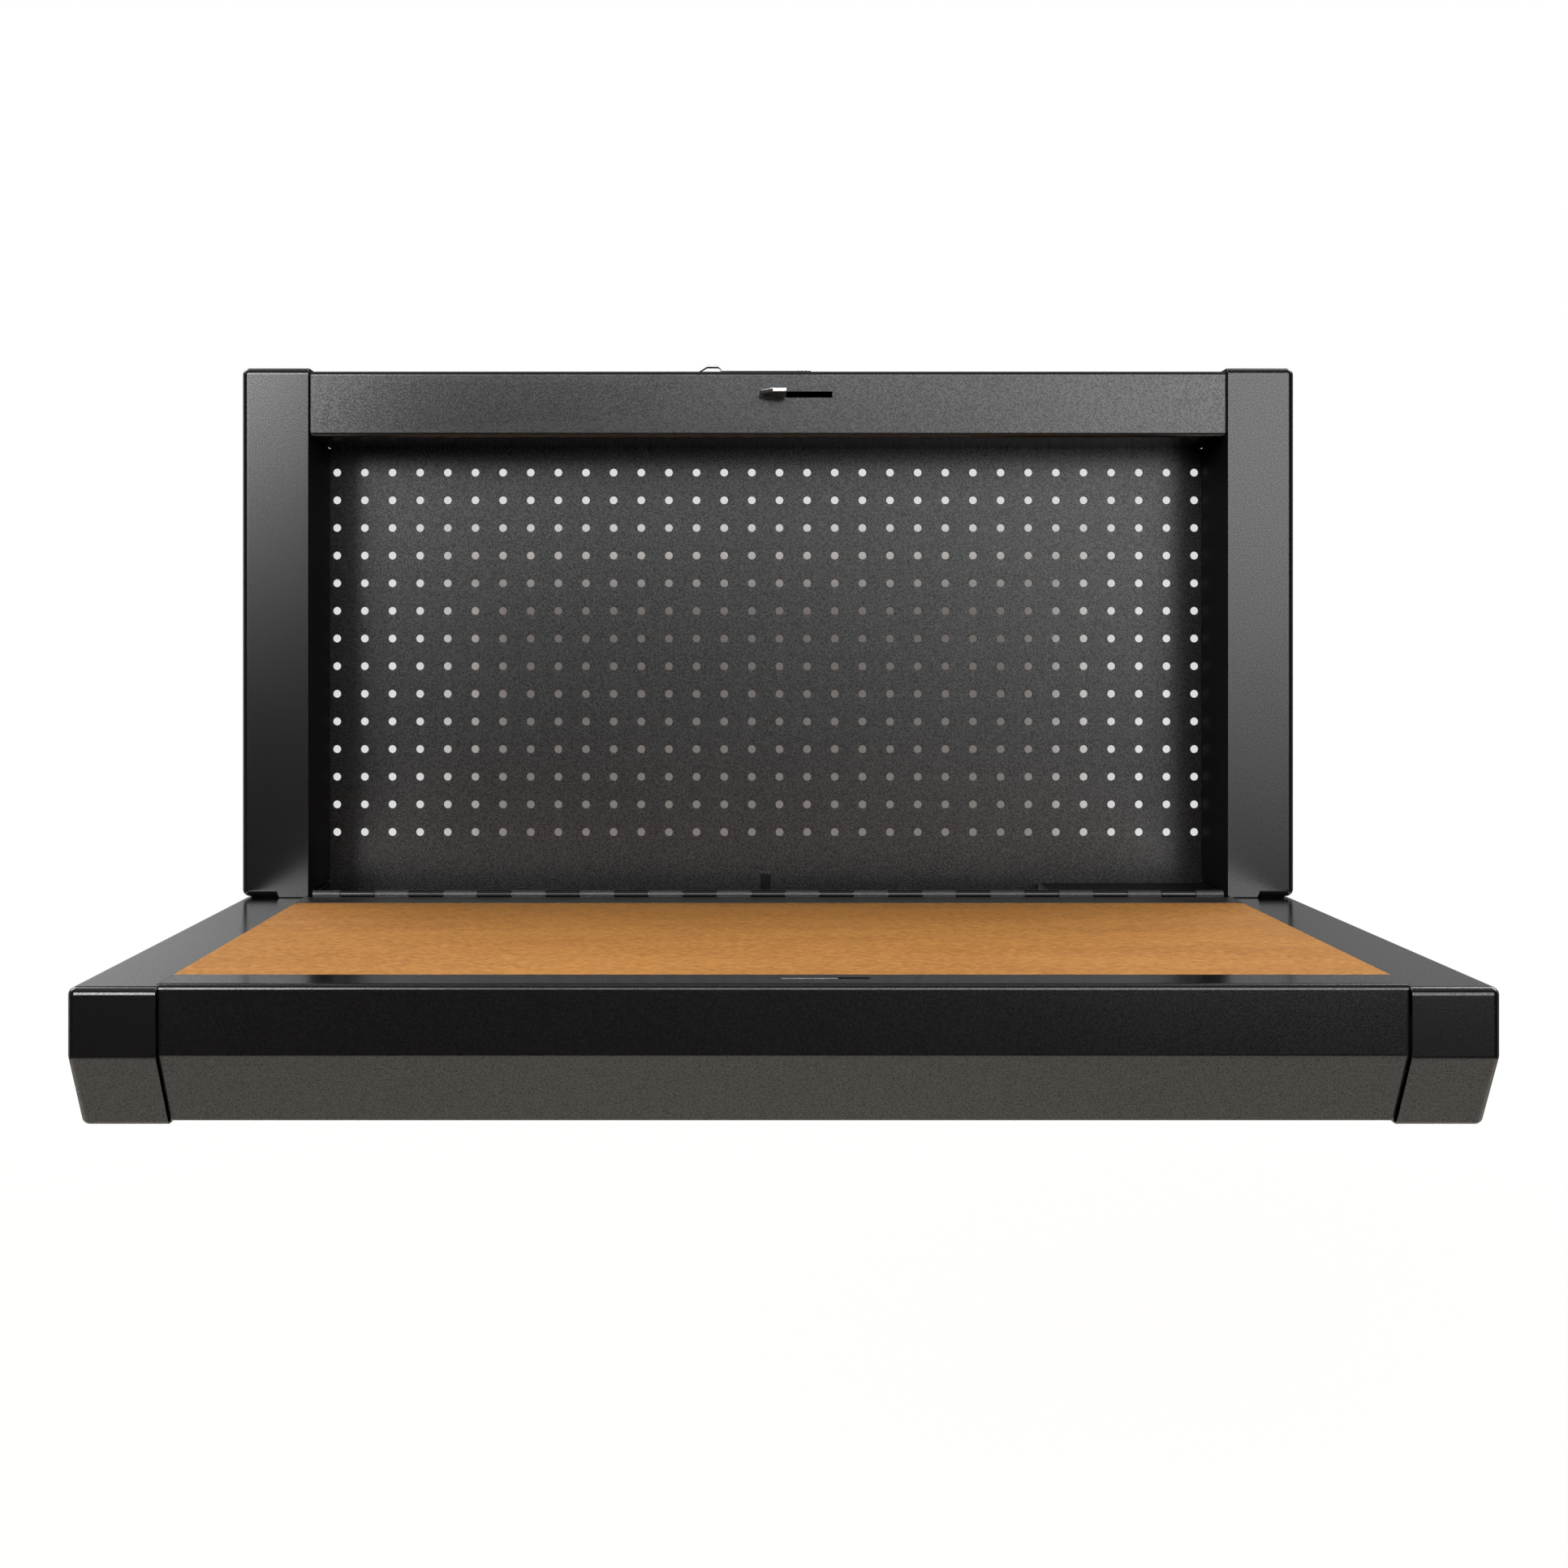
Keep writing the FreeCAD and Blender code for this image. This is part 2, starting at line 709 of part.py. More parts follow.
def rail_outline(inset):
    # Side view of a side rail; the front is upright above and slanted back below.
    slope = math.atan2(slant_back, rail_height - rail_fold_drop)
    front = cap_front + inset
    fold = rail_fold - inset * math.tan(slope / 2)
    bottom = rail_bottom + inset
    foot = front + (fold - bottom) * math.tan(slope)
    tail = tail_end - inset
    top = rail_top - inset
    return [(front, top), (front, fold), (foot, bottom), (tail, bottom), (tail, top)]


def rail_block(inset, inner_x):
    outline = rail_outline(inset)
    x1 = half_width - inset
    block = prism_x(outline, inner_x, x1)
    tail = outline[3][0]
    bends = []
    for edge in block.Edges:
        middle = edge.CenterOfMass
        on_tail = abs(middle.y - tail) < 1e-4
        on_side = abs(middle.x - x1) < 1e-4
        on_inner = abs(middle.x - inner_x) < 1e-4
        if not on_tail and (on_side or not on_inner):
            bends.append(edge)
    return block.makeFillet(rail_bend - inset, bends)


def right_side_rail():
    rail = rail_block(0, cap_inner_half).cut(rail_block(sheet, cap_inner_half - sheet))
    strip = box(cap_inner_half - sheet, rail_inner_half, cap_front + cap_wrap,
                tail_end + sheet, rail_top - 2 * sheet, rail_top + sheet)
    return rail.cut(strip).removeSplitter()


def beam_slant():
    return (beam_fold - beam_bottom) * slant_back / (rail_fold - rail_bottom)


def bench_slot(width, z0, z1, lip):
    y1 = bench_slot_y + width / 2
    return box(bench_slot_left, bench_slot_left + bench_slot_length,
               bench_slot_y - width / 2, y1 - lip, z0, z1)


def front_beam():
    foot = beam_front + beam_slant()
    path = [(board_front + board_ledge, board_bottom), (board_front, board_bottom),
            (board_front, beam_top), (beam_front, beam_top),
            (beam_front, beam_fold), (foot, beam_bottom),
            (foot + beam_foot, beam_bottom)]
    half = cap_inner_half - fit_gap
    bends = [tight_bend, tight_bend, beam_bend, beam_bend, beam_bend]
    beam = folded(path, sheet, bends, -half, half)
    slot = bench_slot(bench_slot_width, beam_top - 3 * sheet, beam_top + sheet, 0)
    return beam.cut([slot] + board_screw_holes(board_front + board_ledge / 2))


def keeper_plate():
    # Plated strike under the beam's top, with a lip that lines the slot.
    top = beam_top - sheet
    plate = box(bench_slot_left - 2 * keeper_margin,
                bench_slot_left + bench_slot_length + keeper_margin,
                bench_slot_y - keeper_margin, bench_slot_y + keeper_margin,
                top - keeper_sheet, top)
    plate = plate.cut(bench_slot(bench_slot_width, top - 2 * keeper_sheet, beam_top, keeper_lip))
    y1 = bench_slot_y + bench_slot_width / 2
    x0 = bench_slot_left + fit_gap
    lip = box(x0, x0 + keeper_lip_length, y1 - keeper_lip, y1, top, beam_top - keeper_lip_drop)
    return plate.fuse(lip).removeSplitter()


def rear_apron():
    path = [(apron_rear - beam_foot, beam_bottom), (apron_rear, beam_bottom),
            (apron_rear, rail_top), (board_rear, rail_top), (board_rear, board_bottom),
            (board_rear - board_ledge, board_bottom)]
    half = rail_inner_half - board_gap
    apron = folded(path, sheet, [beam_bend, beam_bend, tight_bend, tight_bend], -half, half)
    return apron.cut(board_screw_holes(board_rear - board_ledge / 2))


def worktop_board():
    half = rail_inner_half - board_gap
    board = box(-half, half, board_front + board_gap, board_rear - board_gap,
                board_bottom, board_top)
    edges = edges_between(board, (2, board_top)) + edges_between(board, (2, board_bottom))
    board = board.makeFillet(board_edge, edges)
    holes = board_screw_holes(board_front + board_ledge / 2)
    holes += board_screw_holes(board_rear - board_ledge / 2)
    return board.cut(holes)


def board_screw_xs():
    # Between the ribs, so that the heads are clear of them.
    step = 2 * rail_inner_half / (rib_count + 1)
    return spread(board_screw_count, step * (board_screw_count - 1) / 2)


def board_screw_holes(y):
    z0 = board_bottom - 2 * sheet
    radius = screw_radius + hole_clearance / 2
    drill = Vector(0, 0, 2 * sheet + board_screw_bite + hole_clearance)
    return [cylinder(radius, Vector(x, y, z0), drill) for x in board_screw_xs()]


def board_screws():
    screws = []
    for y in (board_front + board_ledge / 2, board_rear - board_ledge / 2):
        for x in board_screw_xs():
            z0 = board_bottom - sheet
            shank = cylinder(screw_radius, Vector(x, y, z0), Vector(0, 0, sheet + board_screw_bite))
            head = cylinder(screw_head_radius, Vector(x, y, z0), Vector(0, 0, -screw_head_height))
            screws.append(shank.fuse(head).removeSplitter())
    return Part.makeCompound(screws)


def rib_xs():
    step = 2 * rail_inner_half / (rib_count + 1)
    return [(index - (rib_count - 1) / 2) * step for index in range(rib_count)]


def worktop_rib(x):
    # Inverted channel under the board, with end tongues that tuck under the ledges.
    half = rib_width / 2
    y0 = board_front + board_ledge + fit_gap
    y1 = board_rear - board_ledge - fit_gap
    outer = box(x - half, x + half, y0, y1, board_bottom - rib_height, board_bottom)
    hollow = box(x - half + sheet, x + half - sheet, y0 - sheet, y1 + sheet,
                 board_bottom - rib_height - sheet, board_bottom - sheet)
    tongue_top = board_bottom - sheet
    y2 = board_front + fit_gap
    y3 = board_rear - fit_gap
    tongue = box(x - half + sheet, x + half - sheet, y2, y3, tongue_top - sheet, tongue_top)
    return outer.cut(hollow).fuse(tongue).removeSplitter()


def bottom_panel():
    half = cap_inner_half + bottom_overlap
    z0 = beam_bottom + sheet
    y0 = beam_front + beam_slant() + beam_bend + sheet
    y1 = apron_rear - beam_bend - sheet
    return box(-half, half, y0, y1, z0, z0 + bottom_sheet)


def corner_bracket(face, inward):
    # Angle inside a corner: one leg on the cross beam, one on the side rail's outer wall.
    x1 = half_width - sheet
    x0 = cap_inner_half - bracket_lap
    y0, y1 = sorted((face, face + inward * bracket_sheet))
    y2, y3 = sorted((face, face + inward * bracket_leg))
    z0 = rail_fold + rail_bend
    z1 = board_bottom - 2 * sheet - screw_head_height
    cross = box(x0, x1, y0, y1, z0, z1)
    side = box(x1 - bracket_sheet, x1, y2, y3, z0, z1)
    return cross.fuse(side).removeSplitter()


def tail_pad():
    x0 = half_width - rail_bend - pad_width
    y1 = tail_end - rail_bend
    return box(x0, x0 + pad_width, y1 - pad_length, y1, rail_top, rail_top + pad_thickness)


# ---------------------------------------------------------------- output

def parts():
    nodes = {}
    for name, shape in (("post", right_post()), ("recess_wall", right_liner()),
                        ("side_rail", right_side_rail()), ("tail_pad", tail_pad()),
                        ("front_bracket", corner_bracket(beam_front + sheet, 1)),
                        ("rear_bracket", corner_bracket(apron_rear - sheet, -1))):
        nodes["right_" + name] = shape
        nodes["left_" + name] = mirrored(shape)
    nodes["header_beam"] = header_beam()
    nodes["header_screws"] = header_screws()
    nodes["peg_panel"] = peg_panel()
    nodes["panel_clip"] = panel_clip()
    nodes["floor_plate"] = floor_plate()
    nodes["hinge_rail"] = hinge_rail()
    nodes["rail_gussets"] = rail_gussets()
    nodes["lower_wall_rail"] = lower_wall_rail()
    nodes["wall_cleat"] = wall_cleat()
    nodes["hanger_rail"] = hanger_rail()
    nodes["hinge_fixed_leaf"] = hinge_fixed_leaf()
    nodes["hinge_moving_leaf"] = hinge_moving_leaf()
    nodes["hinge_pin"] = hinge_pin()
    nodes["hinge_rivets"] = hinge_rivets()
    nodes["latch_bracket"] = latch_bracket()
    nodes["guide_rod"] = guide_rod()
    nodes["latch_block"] = latch_block()
    nodes["latch_spring"] = latch_spring()
    nodes["latch_hook"] = latch_hook()
    nodes["release_plate"] = release_plate()
    nodes["pull_loop"] = pull_loop()
    nodes["front_beam"] = front_beam()
    nodes["keeper_plate"] = keeper_plate()
    nodes["rear_apron"] = rear_apron()
    nodes["worktop_board"] = worktop_board()
    nodes["board_screws"] = board_screws()
    nodes["bottom_panel"] = bottom_panel()
    for index, x in enumerate(rib_xs()):
        nodes["worktop_rib_%d" % (index + 1)] = worktop_rib(x)
    return nodes


os.makedirs("parts", exist_ok=True)
for node, shape in parts().items():
    print(node, len(shape.Solids), shape.isValid(), round(shape.Volume))
    shape.exportStep("parts/%s.step" % node)
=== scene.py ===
import bpy
import bmesh
import math
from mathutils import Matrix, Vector


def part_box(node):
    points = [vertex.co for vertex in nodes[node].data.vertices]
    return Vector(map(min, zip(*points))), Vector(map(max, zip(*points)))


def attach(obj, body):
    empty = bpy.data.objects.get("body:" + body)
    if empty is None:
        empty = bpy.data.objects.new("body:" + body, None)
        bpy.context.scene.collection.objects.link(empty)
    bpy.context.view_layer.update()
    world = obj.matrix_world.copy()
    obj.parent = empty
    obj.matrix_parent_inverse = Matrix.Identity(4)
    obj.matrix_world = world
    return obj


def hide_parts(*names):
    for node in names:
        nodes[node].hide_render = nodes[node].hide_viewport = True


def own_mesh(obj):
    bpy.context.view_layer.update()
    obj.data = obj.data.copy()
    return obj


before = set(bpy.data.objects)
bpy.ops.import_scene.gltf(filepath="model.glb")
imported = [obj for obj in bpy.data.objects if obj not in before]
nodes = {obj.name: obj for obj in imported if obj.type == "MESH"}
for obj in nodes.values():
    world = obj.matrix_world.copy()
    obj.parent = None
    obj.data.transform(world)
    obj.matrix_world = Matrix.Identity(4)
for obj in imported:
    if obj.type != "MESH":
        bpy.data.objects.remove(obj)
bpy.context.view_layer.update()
scene = bpy.context.scene
mm = 0.001
print("frame:", len(nodes), "nodes")


# Node trees: a wire is one output socket, with maths written on it

class Wire:
    def __init__(self, tree, socket):
        self.tree = tree
        self.socket = socket

    def node(self, kind, settings=None, inputs=None, out=0):
        made = self.tree.nodes.new(kind)
        for name, value in (settings or {}).items():
            setattr(made, name, value)
        for name, value in (inputs or {}).items():
            many = value if isinstance(value, list) else [value]
            for one in many:
                if isinstance(one, Wire):
                    self.tree.links.new(one.socket, made.inputs[name])
                else:
                    made.inputs[name].default_value = one
        return Wire(self.tree, made.outputs[out]) if made.outputs else None

    def maths(self, operation, *values):
        return self.node("ShaderNodeMath", {"operation": operation}, dict(enumerate(values)))

    def __add__(self, value):
        return self.maths("ADD", self, value)

    def __sub__(self, value):
        return self.maths("SUBTRACT", self, value)

    def __mul__(self, value):
        return self.maths("MULTIPLY", self, value)

    def __truediv__(self, value):
        return self.maths("DIVIDE", self, value)

    def __rsub__(self, value):
        return self.maths("SUBTRACT", value, self)

    __radd__ = __add__
    __rmul__ = __mul__

    def smooth(self, low, high):  # 0 below low, 1 above high
        settings = {"interpolation_type": "SMOOTHSTEP", "clamp": True}
        return self.node("ShaderNodeMapRange", settings, {"Value": self, "From Min": low, "From Max": high})

    def blend(self, first, second):  # colour mix with this wire as the factor
        settings = {"data_type": "RGBA", "clamp_factor": True}
        return self.node("ShaderNodeMix", settings, {0: self, 6: (*first, 1.0), 7: (*second, 1.0)}, out=2)

    def vector(self, x, y, z):
        return self.node("ShaderNodeCombineXYZ", inputs={0: x, 1: y, 2: z})


def newMaterial(name):
    material = bpy.data.materials.new(name)
    material.use_nodes = True
    tree = material.node_tree
    tree.nodes.clear()
    place = Wire(tree, tree.nodes.new("ShaderNodeTexCoord").outputs["Object"])
    return material, place


def newObject(name, points, edges=(), faces=()):
    mesh = bpy.data.meshes.new(name)
    mesh.from_pydata(points, edges, faces)
    made = bpy.data.objects.new(name, mesh)
    scene.collection.objects.link(made)
    return made


# Camera

cameraView = {
    "place": (-0.0376, -1.8525, 0.0337),
    "lens": 45.84,
    "sensor": 36.0,
    "shiftRight": 0.0378,
    "shiftUp": -0.0844,
}


def makeCamera(view):
    data = bpy.data.cameras.new("camera")
    data.lens = view["lens"]
    data.sensor_width = view["sensor"]
    data.shift_x = view["shiftRight"]
    data.shift_y = view["shiftUp"]
    camera = bpy.data.objects.new("camera", data)
    camera.location = view["place"]
    camera.rotation_euler = (math.pi / 2, 0, 0)
    scene.collection.objects.link(camera)
    scene.camera = camera


makeCamera(cameraView)
scene.view_settings.view_transform = "Standard"
print("camera done")


# Studio: soft boxes on the dark room in front, white room behind, pale floor, and a glowing card behind the panel
# with the wall's shade painted on it

studio = {
    "floorLevel": -1.08,
    "floorSize": 30.0,
    "floorColour": (0.77, 0.72, 0.645),
    "floorFade": (1.2, 4.5),  # distances between which the floor turns to plain white
    "floorWhite": (0.88, 1.0),  # its share of plain white near by and far off
    "floorReach": (1.5, 2.6),  # distances between which it stops lighting the bench
    "darkLevel": 0.015,  # the room in front, below the soft boxes
    "boxes": {  # turn to the right of straight ahead, height above the bench and how soft the edges are, in degrees
        "left": {"turn": (-34, -12.0), "height": (6.7, 33), "soft": (2.5, 7.5), "level": 12.0},
        "middleHigh": {"turn": (-9, 9), "height": (7.4, 33), "soft": (8, 2.2), "level": 2.2},
        "middle": {"turn": (-7, 9), "height": (-3, 33), "soft": (6, 7), "level": 0.34},
        "right": {"turn": (9.8, 32), "height": (-1.5, 33), "soft": (4.0, 10), "level": 2.7},
        "rightWide": {"turn": (1, 34), "height": (-1.5, 33), "soft": (8, 7), "level": 1.4},
        "rearLeft": {"turn": (-168, -90), "height": (-20, 16), "soft": (8, 4), "level": 0.5},
        "rearRight": {"turn": (90, 168), "height": (-20, 16), "soft": (8, 4), "level": 0.24},
        "rearHighLeft": {"turn": (-150, -90), "height": (28, 62), "soft": (6, 6), "level": 5.2},
        "rearHighRight": {"turn": (90, 150), "height": (28, 62), "soft": (6, 6), "level": 5.2},
        "overhead": {"turn": (-180, 180), "height": (60, 90), "soft": (6, 6), "level": 0.45},
    },
}


def makeRoom(room):
    world = bpy.data.worlds.new("room")
    world.use_nodes = True
    scene.world = world
    tree = world.node_tree
    tree.nodes.clear()
    ray = Wire(tree, tree.nodes.new("ShaderNodeLightPath").outputs["Is Camera Ray"])
    direction = ray.node("ShaderNodeTexCoord", out=0)
    right, back, up = (ray.node("ShaderNodeSeparateXYZ", inputs={0: direction}, out=axis) for axis in range(3))
    turn = ray.maths("DEGREES", ray.maths("ARCTAN2", right, 0 - back))
    height = ray.maths("DEGREES", ray.maths("ARCSINE", up))
    level = room["darkLevel"]
    for box in room["boxes"].values():
        inside = box["level"]
        spans = ((turn, box["turn"], box["soft"][0]), (height, box["height"], box["soft"][1]))
        for angle, (low, high), soft in spans:
            if low > -180:  # straight behind is no edge
                inside = inside * angle.smooth(low - soft, low + soft)
            if high not in (90, 180):  # nor is straight up
                inside = inside * (1 - angle.smooth(high - soft, high + soft))
        level = level + inside
    strength = level * (1 - ray) + ray
    background = ray.node("ShaderNodeBackground", inputs={"Color": (1, 1, 1, 1), "Strength": strength})
    ray.node("ShaderNodeOutputWorld", inputs={"Surface": background})


def makeFloor(room):
    half, level = room["floorSize"] / 2, room["floorLevel"]
    corners = [(-half, -half, level), (half, -half, level), (half, half, level), (-half, half, level)]
    floor = newObject("floor", corners, faces=[(0, 1, 2, 3)])
    material, place = newMaterial("paleFloor")
    away = place.node("ShaderNodeVectorMath", {"operation": "LENGTH"}, {0: place}, out="Value")
    ray = place.node("ShaderNodeLightPath", out="Is Camera Ray")
    matt = place.node("ShaderNodeBsdfDiffuse", inputs={"Color": (*room["floorColour"], 1)})
    clear = place.node("ShaderNodeBsdfTransparent", inputs={"Color": (1, 1, 1, 1)})
    unseen = away.smooth(*room["floorReach"]) * (1 - ray)
    near = place.node("ShaderNodeMixShader", inputs={0: unseen, 1: matt, 2: clear})
    white = place.node("ShaderNodeEmission", inputs={"Color": (1, 1, 1, 1), "Strength": 1.0})
    least, most = room["floorWhite"]
    share = away.smooth(*room["floorFade"]) * (most - least) + least
    shader = place.node("ShaderNodeMixShader", inputs={0: ray * share, 1: near, 2: white})
    place.node("ShaderNodeOutputMaterial", inputs={"Surface": shader})
    floor.data.materials.append(material)


paintedWallShadeCard = {  # painted shade: a glowing card close behind the panel, seen only from the front, with the wall's shadow painted on it
    "half": 0.405,
    "low": -0.195,
    "high": 0.25,
    "behind": -0.002,
    "shade": 0.155,  # how bright its middle is
    "light": 0.72,  # and its sides and top
    "warm": (1.0, 0.91, 0.85),  # tint of the shaded middle
    "glow": 0.055,  # painted light: brighter towards the foot
    "sideFade": (0.222, 0.35),  # places between which it changes, in metres from the middle or up
    "topFade": (0.059, 0.194),
    "glowFade": (-0.14, 0.06),
    "footFade": (-0.158, -0.144),
}


def makePaintedWallShadeCard(card):
    half, low, high, y = card["half"], card["low"], card["high"], card["behind"]
    corners = [(-half, y, low), (half, y, low), (half, y, high), (-half, y, high)]
    wall = newObject("paintedWallShadeCard", corners, faces=[(0, 1, 2, 3)])
    material, place = newMaterial("paintedWallShade")
    across, up = (place.node("ShaderNodeSeparateXYZ", inputs={0: place}, out=axis) for axis in (0, 2))
    sides = place.maths("ABSOLUTE", across).smooth(*card["sideFade"])
    edge = place.maths("MAXIMUM", sides, up.smooth(*card["topFade"]))
    # the painted shadow: dim in the middle, bright at the sides and top, a little brighter towards the foot
    shade = (1 - up.smooth(*card["glowFade"])) * card["glow"] + card["shade"]
    level = (edge * (card["light"] - shade) + shade) * up.smooth(*card["footFade"])
    light = place.node("ShaderNodeEmission", inputs={"Color": edge.blend(card["warm"], (1, 1, 1)), "Strength": level})
    clear = place.node("ShaderNodeBsdfTransparent", inputs={"Color": (1, 1, 1, 1)})
    ray = place.node("ShaderNodeLightPath", out="Is Camera Ray")
    rear = place.node("ShaderNodeNewGeometry", out="Backfacing")
    shader = place.node("ShaderNodeMixShader", inputs={0: ray * (1 - rear), 1: clear, 2: light})
    place.node("ShaderNodeOutputMaterial", inputs={"Surface": shader})
    wall.data.materials.append(material)


makeRoom(studio)
makeFloor(studio)
makePaintedWallShadeCard(paintedWallShadeCard)
print("studio done")


# Finishes

coatLook = {
    "colour": (0.0046, 0.0040, 0.0039),
    "worn": (0.0068, 0.0061, 0.0060),
    "grain": 1000.0,  # grains per metre
    "grainDepth": 0.00005,
    "mottle": 9.0,
    "grainShare": 0.8,  # of the colour's pattern, the mottle having the rest
    "wornSpan": (0.4, 0.65),  # the pattern's values between which the colour turns to worn
    "roughness": 0.17,
    "unevenness": (0.15, 0.05),  # what grain and mottle add to the roughness
    "ior": 1.38,
    "clearIor": 1.52,
    "sheen": (0.2, 1.0),  # weight of the clear coat in the grain's hollows and on its tops
    "sheenSpan": (0.37, 0.63),  # the grain's values between which that weight rises
}


def makeCoat(name, look):
    material, place = newMaterial(name)
    grain = place.node("ShaderNodeTexNoise", inputs={"Vector": place, "Scale": look["grain"], "Detail": 2.0,
                                                     "Roughness": 0.7})
    mottle = place.node("ShaderNodeTexNoise", inputs={"Vector": place, "Scale": look["mottle"], "Detail": 3.0})
    pattern = grain * look["grainShare"] + mottle * (1 - look["grainShare"])
    colour = pattern.smooth(*look["wornSpan"]).blend(look["colour"], look["worn"])
    byGrain, byMottle = look["unevenness"]
    roughness = look["roughness"] + (grain - 0.5) * byGrain + (mottle - 0.5) * byMottle
    hollow, top = look["sheen"]
    sheen = grain.smooth(*look["sheenSpan"]) * (top - hollow) + hollow
    bump = place.node("ShaderNodeBump", inputs={"Height": grain, "Strength": 1.0, "Distance": look["grainDepth"]})
    shader = place.node("ShaderNodeBsdfPrincipled", inputs={
        "Base Color": colour, "Roughness": roughness, "Normal": bump, "IOR": look["ior"],
        "Coat Weight": sheen, "Coat Roughness": look["roughness"], "Coat IOR": look["clearIor"]})
    place.node("ShaderNodeOutputMaterial", inputs={"Surface": shader})
    return material


looks = {  # what differs from the coat of the posts and beams
    "gloss": {"colour": (0.0035, 0.0032, 0.0032), "worn": (0.006, 0.0056, 0.0056), "roughness": 0.15,
              "grainDepth": 0.00002, "sheen": (0.55, 0.7)},
    "panel": {"roughness": 0.27, "ior": 1.32},
    # painted shade: a darker, duller copy of the coat for faces in the recess and at the panel's foot
    "recess": {"colour": (0.003, 0.0028, 0.0028), "worn": (0.005, 0.0046, 0.0046), "roughness": 0.6, "ior": 1.2,
               "sheen": (0.0, 0.1)},
    "leaf": {"colour": (0.008, 0.0075, 0.0075), "worn": (0.014, 0.0135, 0.0135), "roughness": 0.42},
    # painted light: a paler copy of the coat, on the moving leaf's knuckles and as painted highlights on edges and
    # bends
    "knuckle": {"colour": (0.028, 0.0275, 0.028), "worn": (0.05, 0.049, 0.05), "roughness": 0.4},
}

boardLook = {
    "colour": (0.42, 0.176, 0.035),
    "pale": (0.52, 0.235, 0.055),
    "dark": (0.31, 0.124, 0.023),
    "plainShare": 0.1,  # of the one colour, laid over the specks
    "clouds": (5.0, 22.0, 22.0),  # per metre, a little longer along the board
    "fibres": (170.0, 300.0, 300.0),
    "fibreShare": 0.8,  # of the specks' tone, the clouds having the rest
    "toneSpan": (0.33, 0.67),  # the tones between which dark turns to pale
    "fibreDepth": 0.00008,
    "fibreStrength": 0.6,
    "roughness": 0.62,
    "unevenness": 0.25,  # what the fibres add to the roughness
    "ior": 1.33,
}


def makeBoard(name, look):
    material, place = newMaterial(name)
    along = place.node("ShaderNodeMapping", inputs={"Vector": place, "Scale": look["clouds"]})
    clouds = place.node("ShaderNodeTexNoise", inputs={"Vector": along, "Scale": 1.0, "Detail": 3.0})
    fibres = place.node("ShaderNodeMapping", inputs={"Vector": place, "Scale": look["fibres"]})
    fibre = place.node("ShaderNodeTexNoise", inputs={"Vector": fibres, "Scale": 1.0, "Detail": 2.0, "Roughness": 0.7})
    tone = clouds * (1 - look["fibreShare"]) + fibre * look["fibreShare"]
    specks = tone.smooth(*look["toneSpan"]).blend(look["dark"], look["pale"])
    plain = (*look["colour"], 1.0)
    body = place.node("ShaderNodeMix", {"data_type": "RGBA"}, {0: look["plainShare"], 6: specks, 7: plain}, out=2)
    roughness = look["roughness"] + (fibre - 0.5) * look["unevenness"]
    bump = place.node("ShaderNodeBump", inputs={"Height": fibre, "Strength": look["fibreStrength"],
                                                "Distance": look["fibreDepth"]})
    shader = place.node("ShaderNodeBsdfPrincipled", inputs={"Base Color": body, "Roughness": roughness,
                                                            "Normal": bump, "IOR": look["ior"]})
    place.node("ShaderNodeOutputMaterial", inputs={"Surface": shader})
    return material


zincLook = {
    "colour": (0.66, 0.66, 0.67),
    "dull": (0.5, 0.49, 0.48),
    "clouds": 900.0,  # per metre
    "cloudSpan": (0.25, 0.75),  # the clouds' values between which dull turns to bright
    "scratches": (40.0, 900.0, 900.0),
    "scratchDepth": 0.00003,
    "scratchStrength": 0.3,
    "roughness": 0.3,
    "unevenness": 0.3,  # what the clouds add to the roughness
}


def makeZinc(name, look):
    material, place = newMaterial(name)
    cloud = place.node("ShaderNodeTexNoise", inputs={"Vector": place, "Scale": look["clouds"], "Detail": 2.0})
    along = place.node("ShaderNodeMapping", inputs={"Vector": place, "Scale": look["scratches"]})
    scratch = place.node("ShaderNodeTexNoise", inputs={"Vector": along, "Scale": 1.0, "Detail": 2.0})
    colour = cloud.smooth(*look["cloudSpan"]).blend(look["dull"], look["colour"])
    roughness = look["roughness"] + (cloud - 0.5) * look["unevenness"]
    bump = place.node("ShaderNodeBump", inputs={"Height": scratch, "Strength": look["scratchStrength"],
                                                "Distance": look["scratchDepth"]})
    shader = place.node("ShaderNodeBsdfPrincipled", inputs={"Base Color": colour, "Roughness": roughness,
                                                            "Metallic": 1.0, "Normal": bump})
    place.node("ShaderNodeOutputMaterial", inputs={"Surface": shader})
    return material


padLook = {
    "colour": (0.012, 0.012, 0.012),
    "pale": (0.024, 0.024, 0.023),
    "grain": 700.0,  # grains per metre
    "grainSpan": (0.3, 0.7),  # the grain's values between which the colour turns to pale
    "grainDepth": 0.00005,
    "grainStrength": 0.5,
    "roughness": 0.8,
}


def makePad(name, look):
    material, place = newMaterial(name)
    grain = place.node("ShaderNodeTexNoise", inputs={"Vector": place, "Scale": look["grain"], "Detail": 2.0})
    colour = grain.smooth(*look["grainSpan"]).blend(look["colour"], look["pale"])
    bump = place.node("ShaderNodeBump", inputs={"Height": grain, "Strength": look["grainStrength"],
                                                "Distance": look["grainDepth"]})
    shader = place.node("ShaderNodeBsdfPrincipled", inputs={"Base Color": colour, "Roughness": look["roughness"],
                                                            "Normal": bump})
    place.node("ShaderNodeOutputMaterial", inputs={"Surface": shader})
    return material


finishes = {
    "powder_coat": makeCoat("texturedCoat", coatLook),
    "gloss_black": makeCoat("glossCoat", {**coatLook, **looks["gloss"]}),
    "zinc_steel": makeZinc("zincPlate", zincLook),
    "board": makeBoard("fibreBoard", boardLook),
    "pad": makePad("padRubber", padLook),
}

variants = {label: makeCoat(label + "Coat", {**coatLook, **looks[label]})
            for label in ("panel", "recess", "leaf", "knuckle")}

